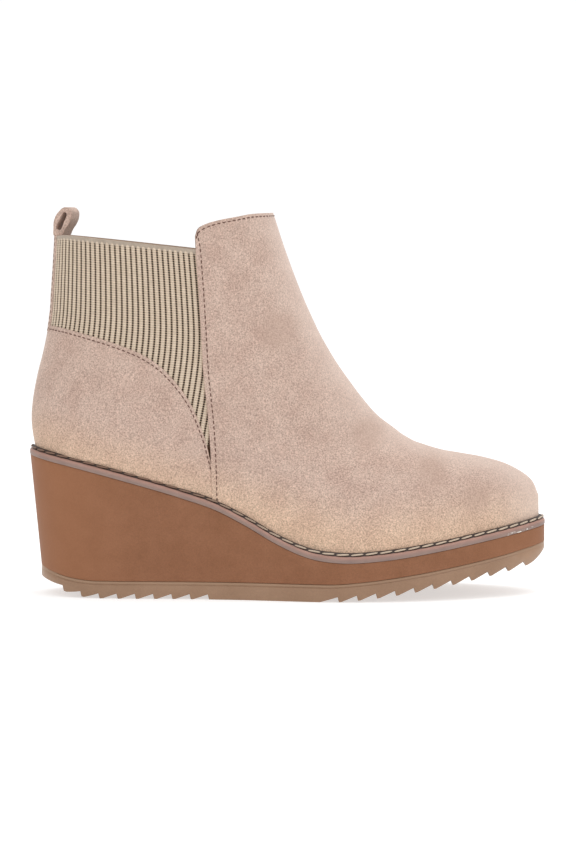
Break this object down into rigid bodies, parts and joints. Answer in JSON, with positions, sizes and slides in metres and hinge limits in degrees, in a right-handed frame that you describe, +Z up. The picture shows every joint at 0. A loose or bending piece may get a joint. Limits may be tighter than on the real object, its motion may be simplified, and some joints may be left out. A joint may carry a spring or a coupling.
{
  "type": "wedge ankle boot",
  "caption": "Ankle boot for the right foot with elastic side panels, a pull loop behind, a wedge midsole and a lugged rubber outsole, standing empty.",
  "frame": {"origin": "on the floor, under the middle of the boot's bounding box", "axes": "+X to the toe, -Y to the outer side of the right foot, +Z up"},
  "size_m": [0.25, 0.0927, 0.1874],
  "materials": {
    "rubber": "matt, slightly translucent tan rubber",
    "foam": "tan brown moulded foam, satin",
    "welt": "taupe strip with long pale stitches",
    "footbed": "plain beige lining cloth",
    "suede": "napped pinkish beige suede",
    "elastic": "ribbed elastic, beige ribs over brown grooves"
  },
  "bodies": {
    "root": {"outsole": "rubber", "wedge": "foam", "welt": "welt", "insole": "footbed", "upper": "suede", "gore_lateral": "elastic", "gore_medial": "elastic", "back_strip": "suede", "pull_loop": "suede"}
  },
  "joints": []
}
